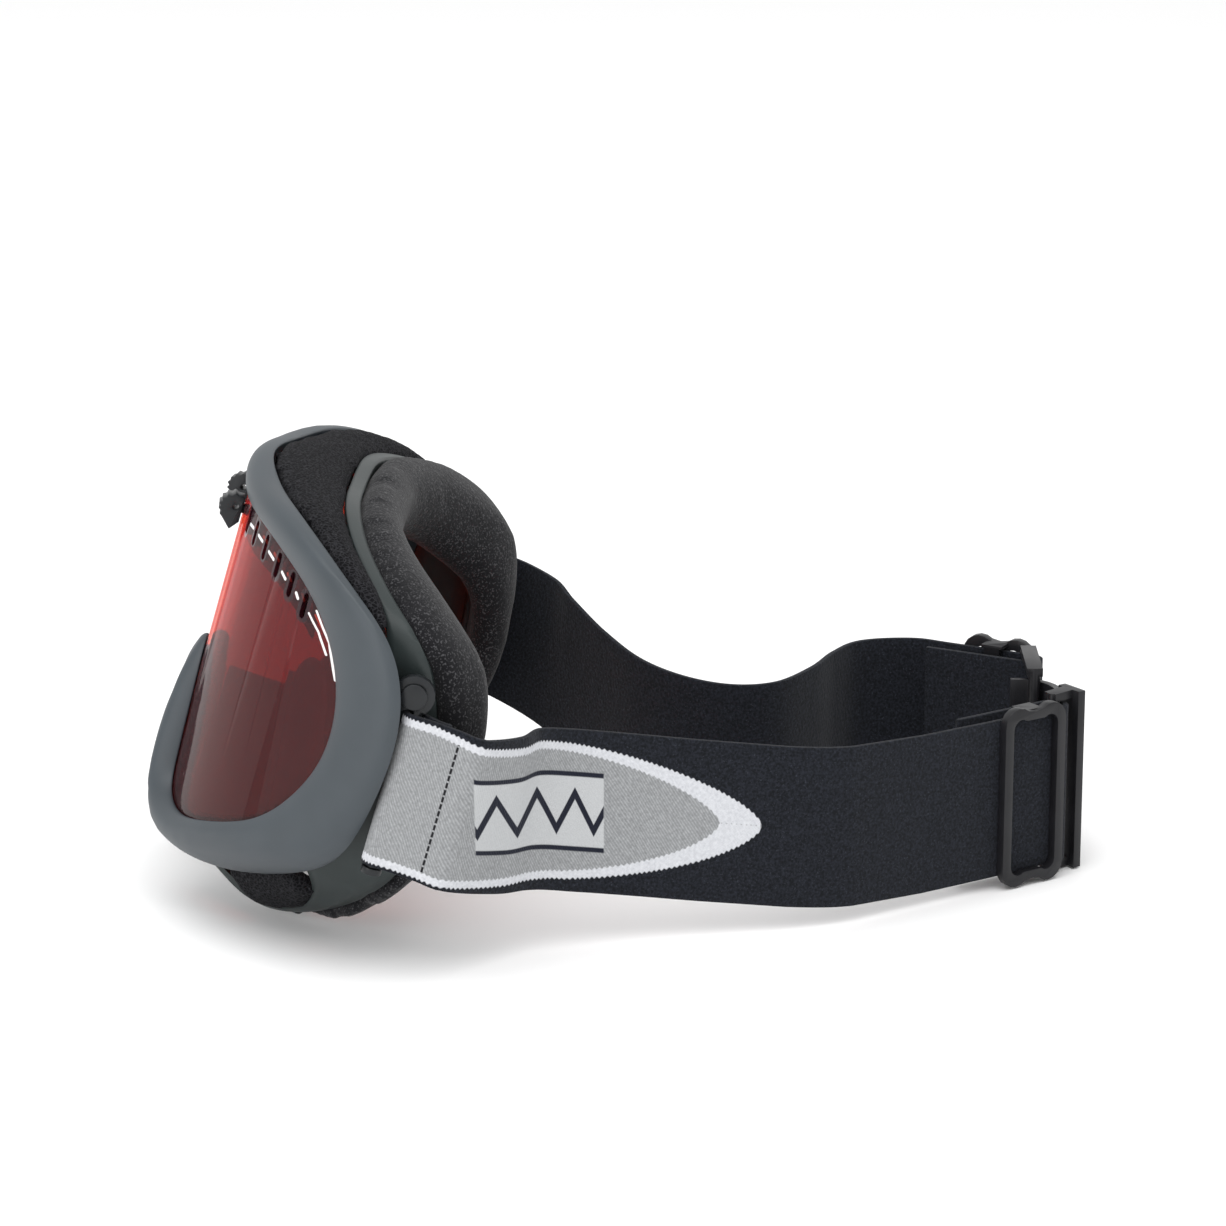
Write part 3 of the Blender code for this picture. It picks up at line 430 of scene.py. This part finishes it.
def panel_masks(made, y, v, length, fuzz):
    """Where the panel is, and where its grey core is inside the white edge."""
    spread = 1.0 + ((PANEL_FULL - y) / FLARE_REACH).most(0.0).least(1.0) * FLARE
    taper = (y - PANEL_FULL) / (PANEL_TIP - PANEL_FULL)
    tooth = (length * 5.0).math("SINE") * 0.010 + fuzz * 0.012
    edge = bullet(taper) * spread * PANEL_HALF
    inside = (edge + tooth - abs(v)).over(0.0, 0.015) * taper.under(0.995, 0.01)
    core_edge = bullet(taper * 1.25) * (spread * PANEL_HALF - CORE_INSET)
    core = (core_edge - tooth - abs(v)).over(0.0, 0.015)
    outward = made.node("ShaderNodeAttribute", {"attribute_name": "outer_face"}, output=2)
    return inside * outward, core * outward


def panel_grey(made, y, v, length, heather, twill):
    """Colour of the grey core with its zigzag, its two lines and its seam."""
    grey = made.mix(heather.over(0.5, 0.6), (0.21, 0.215, 0.22, 1), (0.40, 0.41, 0.42, 1))
    grey = made.mix(twill * 0.45, grey, (0.16, 0.165, 0.17, 1))
    step = y / ZIGZAG_STEP
    wave = abs(step - step.math("FLOOR") - 0.5) * 0.9 - 0.225
    near = abs(y - ZIGZAG_MIDDLE).under(ZIGZAG_REACH, 0.3)
    zigzag = abs(v - wave).under(0.075, 0.02) * near
    rails = abs(abs(v) - RAIL_HALF).under(0.03, 0.015) * near
    grey = made.mix(abs(v).under(RAIL_HALF, 0.02) * near, grey, (0.46, 0.47, 0.48, 1))
    grey = made.mix(zigzag.most(rails), grey, (0.010, 0.012, 0.022, 1))
    thread = (v * HALF_WIDTH * 3.2).math("SINE").over(-0.7, 0.3)
    stitch = abs(length - STITCH_AT).under(0.3, 0.15) * thread
    return made.mix(stitch, grey, (0.01, 0.01, 0.012, 1))


def webbing(name, panel, total):
    """The strap's material; total is the webbing's length, which its UV map runs along."""
    made = Finish(name, roughness=0.92, sheen_weight=0.06, sheen_roughness=0.5,
                  specular_ior_level=0.2)
    uv = made.node("ShaderNodeTexCoord", output=2)
    along, across, _ = made.axes(uv, 1.0)
    length = along * total
    v = across * 2.0 - 1.0
    height = v * HALF_WIDTH
    fuzz = made.noise(900.0, 4.0)
    rib = (length * 4.2 + height * 1.6).math("SINE")
    cord = (height * 5.2).math("SINE")
    height_map = fuzz * 1.2 + rib * 0.05 + cord * 0.05
    colour = black_elastic(made)
    if panel:
        _, y, _ = made.axes()
        inside, core = panel_masks(made, y, v, length, fuzz)
        heather = made.noise(1300.0, 4.0)
        twill = (length * 8.0 + height * 5.0).math("SINE").over(0.0, 1.4)
        grey = panel_grey(made, y, v, length, heather, twill)
        pale = made.mix(heather, (0.42, 0.43, 0.46, 1), (0.70, 0.71, 0.74, 1))
        colour = made.mix(inside, colour, made.mix(core, pale, grey))
        height_map = height_map + inside * 0.6 - core * 0.3 + twill * inside * 0.3
    made.colour(colour)
    made.bump(height_map, 0.6, 0.0003)
    return made.material


print("webbing ready")


# %% [markdown]
# ## Working on a copy
# A moulded piece could be modelled again from a primitive, but it has to fit its neighbours
# exactly.  So it starts as a copy of its plain solid: its doubled corners are welded, its
# triangles paired into quads, and its edges broken or its skin smoothed.  The plain solid
# stays untouched underneath.

# %% Helpers for work on a copy
def pick(*objects):
    bpy.ops.object.select_all(action="DESELECT")
    for obj in objects:
        obj.select_set(True)
    bpy.context.view_layer.objects.active = objects[-1]


def copy_piece(name, *nodes):
    """A welded copy of CAD nodes, joined, with its place in its mesh."""
    pick(*[frame["nodes"][node] for node in nodes])
    bpy.ops.object.duplicate(linked=False)
    if len(nodes) > 1:
        bpy.ops.object.join()
    made = bpy.context.active_object
    bpy.ops.object.parent_clear(type="CLEAR_KEEP_TRANSFORM")
    bpy.ops.object.transform_apply(location=True, rotation=True, scale=True)
    made.name = name
    made.data.materials.clear()
    bpy.ops.object.mode_set(mode="EDIT")
    bpy.ops.mesh.select_all(action="SELECT")
    bpy.ops.mesh.remove_doubles(threshold=0.02 * MM)
    bpy.ops.mesh.tris_convert_to_quads(face_threshold=0.7, shape_threshold=0.7)
    bpy.ops.mesh.normals_make_consistent(inside=False)
    bpy.ops.object.mode_set(mode="OBJECT")
    return made


def apply(obj, kind, **settings):
    """Add a modifier, set it and make it part of the mesh."""
    pick(obj)
    modifier = obj.modifiers.new(kind.lower(), kind)
    for key, setting in settings.items():
        setattr(modifier, key, setting)
    bpy.ops.object.modifier_apply(modifier=modifier.name)
    return obj


def smooth(obj, degrees=35):
    pick(obj)
    bpy.ops.object.shade_smooth_by_angle(angle=math.radians(degrees))


print("helpers ready")


# %% [markdown]
# ## Fittings and lenses
# Sliders, clip, outriggers, pins and levers are small mouldings with broken edges.  A
# subdivision surface would melt their flats, so a narrow bevel catches the light on the edges
# only.  The lenses are thin sheets whose edges sit in grooves and the shutters lie behind the
# outer lens, so these need none.

# %% Fittings and lenses
def hard_piece(node, material, bevel, body):
    """A moulded piece: the copy with its edges broken by a bevel in millimetres."""
    made = copy_piece(node + "_look", node)
    if bevel:
        apply(made, "BEVEL", width=bevel * MM, segments=2, limit_method="ANGLE",
              angle_limit=math.radians(40), use_clamp_overlap=True)
    made.data.materials.append(material)
    smooth(made)
    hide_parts(node)
    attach(made, body)
    return made


BODIES = frame["record"]["behaviour"]["bodies"]
BODY_OF = {node: body for body, nodes in BODIES.items() for node in nodes}
HARD_PIECES = (
    (FITTING_PLASTIC, 0.5, ("slider_left", "slider_right")),
    (FITTING_PLASTIC, 0.4, ("clip_hook", "clip_catch")),
    (KNOB_PLASTIC, 0.25, ("outrigger_left", "outrigger_right")),
    (KNOB_PLASTIC, 0.2, ("pivot_pin_left", "pivot_pin_right")),
    (KNOB_PLASTIC, 0.2, ("vent_lever_left", "vent_lever_right")),
    (KNOB_PLASTIC, 0.0, ("vent_shutter_left", "vent_shutter_right")),
    (ROSE_LENS, 0.0, ("outer_lens",)),
    (CLEAR_LENS, 0.0, ("inner_lens",)),
)

for material, bevel, nodes in HARD_PIECES:
    for node in nodes:
        piece = hard_piece(node, material, bevel, BODY_OF[node])
        print(piece.name, len(piece.data.polygons), "faces")

# %% [markdown]
# ## Rim and frame body
# Both are injection-moulded loops round the face.  A curve with a bevel could carry one
# section round the loop, but the section changes from brow to cheek to nose.  The plain solid
# has those sections already, so a subdivision surface over the copy gives the flowing
# shoulders, and creases on the sharp edges keep the lip beside the lens and the parting line.

# %% Rim and frame body
def crease_sharp(obj, degrees, weight):
    """Crease every edge that turns more than an angle."""
    shape = bmesh.new()
    shape.from_mesh(obj.data)
    layer = shape.edges.layers.float.get("crease_edge") or shape.edges.layers.float.new("crease_edge")
    for edge in shape.edges:
        if len(edge.link_faces) == 2 and edge.calc_face_angle() > math.radians(degrees):
            edge[layer] = weight
    shape.to_mesh(obj.data)
    shape.free()


def moulded_loop(node, material, degrees=48, weight=0.75):
    made = copy_piece(node + "_look", node)
    crease_sharp(made, degrees, weight)
    apply(made, "SUBSURF", levels=2, render_levels=2)
    made.data.materials.append(material)
    smooth(made, 50)
    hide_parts(node)
    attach(made, "mask")
    print(made.name, len(made.data.polygons), "faces")


moulded_loop("front_rim", FRAME_PLASTIC)
moulded_loop("frame_body", BAND_PLASTIC)

# %% [markdown]
# ## Soft pieces
# Vent foam, gasket, and the cushion with its fleece are cut from foam that swells a little out
# of its plain shape.  Sculpting could give that, but a simulation spreads the swelling over
# the whole skin by one rule.  Each piece is remeshed to even cells, smoothed, pushed out
# along its normals, blown up by a short cloth simulation that is held to a small
# displacement, and subdivided once.  Whatever is lowest then flattens onto the table.

# %% Helpers for soft pieces
CLOTH_FRAMES = 20
AIR_PRESSURE = 4.0
TABLE_REACH = 2.0 * MM           # below this height a soft piece flattens onto the table


def inflate(obj, pressure, most):
    """Blow the skin up for some frames and keep at most a small part of it."""
    rest = [v.co.copy() for v in obj.data.vertices]
    pick(obj)
    cloth = obj.modifiers.new("cloth", "CLOTH")
    cloth.settings.quality = 4
    cloth.settings.mass = 0.15
    cloth.settings.tension_stiffness = 25
    cloth.settings.compression_stiffness = 25
    cloth.settings.bending_stiffness = 2
    cloth.settings.use_pressure = True
    cloth.settings.uniform_pressure_force = pressure
    cloth.settings.effector_weights.gravity = 0.0
    cloth.point_cache.frame_start = 1
    cloth.point_cache.frame_end = CLOTH_FRAMES
    scene = bpy.context.scene
    for number in range(1, CLOTH_FRAMES + 1):
        scene.frame_set(number)
    shape = obj.evaluated_get(bpy.context.evaluated_depsgraph_get()).to_mesh()
    blown = [v.co.copy() for v in shape.vertices]
    obj.modifiers.remove(cloth)
    for v, start, end in zip(obj.data.vertices, rest, blown):
        move = end - start
        if move.length > most:
            move = move.normalized() * most
        v.co = start + move
    scene.frame_set(1)


def fatten(obj, by):
    """Push every point out along its normal."""
    pick(obj)
    bpy.ops.object.mode_set(mode="EDIT")
    bpy.ops.mesh.select_all(action="SELECT")
    bpy.ops.transform.shrink_fatten(value=by)
    bpy.ops.object.mode_set(mode="OBJECT")


def settle(obj, depth):
    """Let the lowest part of a soft piece flatten smoothly where it lies on the table."""
    for v in obj.data.vertices:
        if v.co.z < depth:
            v.co.z = depth * math.exp(v.co.z / depth - 1.0)


print("helpers for soft pieces ready")


# %% Cushion, vent foams and gasket
def soft_piece(name, nodes, material, cell, most, swell, rounds=6):
    """A padded piece: cell, most and swell are in metres."""
    made = copy_piece(name, *nodes)
    apply(made, "REMESH", mode="VOXEL", voxel_size=cell)
    apply(made, "SMOOTH", factor=0.5, iterations=rounds)
    fatten(made, swell)
    inflate(made, AIR_PRESSURE, most)
    apply(made, "SUBSURF", levels=1, render_levels=1)
    settle(made, TABLE_REACH)
    made.data.materials.append(material)
    pick(made)
    bpy.ops.object.shade_smooth()
    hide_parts(*nodes)
    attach(made, "mask")
    print(made.name, len(made.data.polygons), "faces")


soft_piece("face_cushion", ["face_foam", "face_fleece"], FLEECE,
           cell=0.0020, most=0.0008, swell=0.0018, rounds=24)
soft_piece("top_vent_foam_look", ["top_vent_foam"], OPEN_FOAM,
           cell=0.0014, most=0.0003, swell=0.0010)
for hand in ("left", "right"):
    node = "bottom_vent_foam_" + hand
    soft_piece(node + "_look", [node], OPEN_FOAM, cell=0.0012, most=0.0003, swell=0.0010)
soft_piece("lens_gasket_look", ["lens_gasket"], OPEN_FOAM,
           cell=0.0008, most=0.0001, swell=0.0008)

# %% [markdown]
# ## Head strap
# Each half is one strip of elastic webbing.  A curve with a flat bevel could carry it, but
# its tilt would have to be set at each point as the strap turns upright.  So a long grid is
# laid along the path, from the strap's tuck behind the outrigger bar, back to the fold
# round the clip bar and forward again to its loose end, and then given its thickness.
# Side 1 is the wearer's left and -1 the right; all measures are in millimetres.

# %% Where the straps run
ANCHOR_X = 80.6                  # the outrigger bar, in the mask's directions
ANCHOR_D = 56.5
BAR_H = 66.1                     # height of the strap's middle where it turns round that bar
BAR_TURN = 2.45                  # radius of the turn
HALF_AT_MASK = 19.75             # half the webbing's width at the bar, where it is gathered
CLIP_TURN = 3.2                  # radius of the fold round the clip's bar
STRAP_Z = 24.0                   # height of the strap's middle above the table at the clip
THICK = 1.5
POINTS_ACROSS = 15
PATH_Y = -115.3                  # the y of every point in PATHS counts from here

# The straight run at the clip: a point on it, its heading in degrees, and then places along
# it where it begins, lies flat under the slider, reaches the clip's bar and has its loose end.
RUNS = {
    1: {"start": (10.0, 93.7), "heading": -36.87,
        "straight": -20.0, "flat": 1.2, "bar": 25.5, "tail": -4.0},
    -1: {"start": (-60.0, 96.7), "heading": 26.7,
         "straight": -21.0, "flat": -9.4, "bar": 14.5, "tail": -14.0},
}
PATHS = {
    1: ((71.5, 91.0, 39.0), (62.0, 97.0, 37.6), (56.0, 106.0, 35.4), (51.0, 120.0, 32.8),
        (46.5, 137.0, 30.0), (41.5, 158.0, 27.0), (34.5, 175.0, 25.0)),
    -1: ((-73.5, 92.0, 39.5), (-64.0, 99.0, 36.0), (-51.0, 108.5, 31.0), (-37.0, 119.0, 27.0),
         (-27.0, 131.0, 25.0), (-22.5, 144.0, 24.0), (-25.5, 156.0, 24.0), (-40.0, 165.5, 24.0),
         (-55.0, 171.5, 24.0), (-66.0, 179.0, 24.0)),
}
print("paths of", [len(PATHS[side]) for side in (1, -1)], "points")


# %% Rows along a strap
# A row is the middle point of the webbing and the vector from there to its upper edge.
def rows_at_mask(side):
    """From the tuck behind the outrigger bar, round the bar and back beside the mask."""
    outer = ANCHOR_X + BAR_TURN
    front = [(outer - 1.8, ANCHOR_D + 9.0), (outer - 1.8, ANCHOR_D + 5.5),
             (outer - 2.9, ANCHOR_D + 3.0), (ANCHOR_X - BAR_TURN, ANCHOR_D + 0.6)]
    for degrees in range(180, 361, 20):
        angle = math.radians(degrees)
        front.append((ANCHOR_X + BAR_TURN * math.cos(angle), ANCHOR_D + BAR_TURN * math.sin(angle)))
    front += [(outer, ANCHOR_D + 5.0), (outer + 0.2, ANCHOR_D + 11.0), (outer + 0.3, ANCHOR_D + 18.0)]
    rows = []
    for x, d in front:
        h = BAR_H - max(d - 60.0, 0.0) * 0.06
        rows.append((mask_point(side * x, h, d), UP * HALF_AT_MASK))
    return rows


def rows_on_path(side):
    """Behind the mask, where the webbing turns upright and comes to its full width."""
    rows = []
    for k, (x, y, z) in enumerate(PATHS[side]):
        share = min((2 * k + 2) / 5.0, 1.0)
        half = UP.lerp(Vector((0.0, 0.0, 1.0)), share).normalized()
        wide = HALF_AT_MASK + (HALF_WIDTH - HALF_AT_MASK) * share
        rows.append((Vector((x, y + PATH_Y, z)), half * wide))
    return rows


def rows_at_clip(side):
    """The straight run, the fold round the clip's bar and forward again to the loose end."""
    run = RUNS[side]
    turn = math.radians(run["heading"])
    along = Vector((math.sin(turn), math.cos(turn), 0.0))
    out = Vector((along.y, -along.x, 0.0)) * side
    start = Vector((run["start"][0], run["start"][1], STRAP_Z))
    upright = Vector((0.0, 0.0, HALF_WIDTH))
    rows = [(start + along * run["straight"] - out * 0.6, upright)]
    for stop in ("flat", "bar"):
        rows.append((start + along * run[stop], upright))
    for degrees in range(70, -90, -20):
        angle = math.radians(degrees)
        back = run["bar"] + CLIP_TURN * math.cos(angle)
        sideways = CLIP_TURN * math.sin(angle) - CLIP_TURN
        rows.append((start + along * back + out * sideways, upright))
    for stop in ("bar", "tail"):
        rows.append((start + along * run[stop] - out * (2.0 * CLIP_TURN), upright))
    return rows


def between(a, b, c, e, t):
    """Smooth curve through b and c."""
    return 0.5 * (2 * b + (c - a) * t + (2 * a - 5 * b + 4 * c - e) * t ** 2
                  + (3 * b - a - 3 * c + e) * t ** 3)


def dense(rows, step=1.6):
    """The same path with a row every step: straight over long or tiny gaps, else curved."""
    made = []
    last = len(rows) - 1
    for i in range(last):
        near = [rows[max(i - 1, 0)], rows[i], rows[i + 1], rows[min(i + 2, last)]]
        gap = (near[2][0] - near[1][0]).length
        count = max(1, int(round(gap / step)))
        for k in range(count):
            t = k / count
            if gap > 20.0 or gap < 3.0:
                centre = near[1][0].lerp(near[2][0], t)
            else:
                centre = between(*[row[0] for row in near], t)
            made.append((centre, near[1][1].lerp(near[2][1], t)))
    made.append(rows[last])
    return made


def strap_rows(side):
    return dense(rows_at_mask(side) + rows_on_path(side) + rows_at_clip(side))


print("rows along each strap:", [len(strap_rows(side)) for side in (1, -1)])


# %% The two halves of the strap
def mark_outer_face(made, side, grid_faces):
    """1 on the faces of the grid and its offset copy that look away from the head."""
    outer_face = made.data.attributes.new("outer_face", "FLOAT", "FACE")
    for i, face in enumerate(made.data.polygons):
        looks_out = face.normal.dot(Vector((side, 0.0, 0.0))) > 0.0
        outer_face.data[i].value = 1.0 if i < 2 * grid_faces and looks_out else 0.0


def strap(name, node, side, panel):
    rows = strap_rows(side)
    wide = len(rows)
    bpy.ops.object.select_all(action="DESELECT")
    bpy.ops.mesh.primitive_grid_add(x_subdivisions=wide - 1, y_subdivisions=POINTS_ACROSS - 1, size=2.0)
    made = bpy.context.active_object
    made.name = name
    for i, v in enumerate(made.data.vertices):
        centre, half = rows[i % wide]
        v.co = (centre + half * (2.0 * (i // wide) / (POINTS_ACROSS - 1) - 1.0)) * MM
    length = sum((b[0] - a[0]).length for a, b in zip(rows, rows[1:])) * MM
    apply(made, "SOLIDIFY", thickness=THICK * MM, offset=0.0)
    mark_outer_face(made, side, (wide - 1) * (POINTS_ACROSS - 1))
    apply(made, "BEVEL", width=0.35 * MM, segments=2, limit_method="ANGLE", angle_limit=math.radians(50))
    made.data.materials.append(webbing(name.replace("look", "webbing"), panel, length / MM))
    smooth(made, 40)
    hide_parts(node)
    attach(made, "strap_loop")
    print(made.name, len(made.data.polygons), "faces,", round(length * 1000), "mm long")


strap("strap_left_look", "strap_left", 1, True)
strap("strap_right_look", "strap_right", -1, False)

# %% [markdown]
# ## Stage, light and camera
# The goggles stand on white paper under a broad soft light, with a gentle one from the front
# and a bright surround.  A small hard lamp would throw a sharp shadow and a glare on the
# lens, so both lights are wide.  The camera is far off with a long lens, which keeps near and
# far parts at nearly one scale, and looks at the wearer's left side.

# %% Paper
bpy.ops.object.select_all(action="DESELECT")
bpy.ops.mesh.primitive_plane_add(size=8.0, location=(0.0, 0.0, -0.0005))
floor = bpy.context.active_object
floor.name = "floor"
paper = Finish("paper", roughness=0.9, specular_ior_level=0.1)
paper.colour(paper.mix(paper.noise(3.0), (0.93, 0.93, 0.93, 1), (0.95, 0.95, 0.95, 1)))
floor.data.materials.append(paper.material)
print("paper", tuple(floor.dimensions))


# %% Lights
def area_light(name, place, aim, size, power):
    light = bpy.data.lights.new(name, "AREA")
    light.shape = "RECTANGLE"
    light.size = size[0]
    light.size_y = size[1]
    light.energy = power
    made = bpy.data.objects.new(name, light)
    bpy.context.collection.objects.link(made)
    made.location = place
    made.rotation_euler = (Vector(aim) - Vector(place)).to_track_quat("-Z", "Y").to_euler()
    return made


key = area_light("key", (0.5, -0.1, 1.5), (0.0, 0.0, 0.05), (1.6, 1.6), 16.0)
fill = area_light("fill", (1.2, -1.0, 0.5), (0.0, 0.0, 0.05), (1.0, 0.8), 5.0)
world = bpy.data.worlds.new("studio")
bpy.context.scene.world = world
world.use_nodes = True
world.node_tree.nodes["Background"].inputs[0].default_value = (1.0, 1.0, 1.0, 1.0)
world.node_tree.nodes["Background"].inputs[1].default_value = 0.95
bpy.context.scene.view_settings.view_transform = "Standard"
print("lights", key.name, fill.name, "and", world.name)

# %% Camera
DISTANCE = 1.1                   # metres from the point aimed at
FOCAL_LENGTH = 126.0
SENSOR_WIDTH = 36.0
AZIMUTH = math.radians(91.96)
ELEVATION = math.radians(15.49)
AIM = Vector((0.0, -1.6, 70.4)) * MM
away = Vector((math.sin(AZIMUTH) * math.cos(ELEVATION), -math.cos(AZIMUTH) * math.cos(ELEVATION),
               math.sin(ELEVATION)))
lens = bpy.data.cameras.new("camera")
lens.lens = FOCAL_LENGTH
lens.sensor_width = SENSOR_WIDTH
camera = bpy.data.objects.new("camera", lens)
bpy.context.collection.objects.link(camera)
camera.location = AIM + away * DISTANCE
camera.rotation_euler = (-away).to_track_quat("-Z", "Y").to_euler()
bpy.context.scene.camera = camera
print("stage ready")
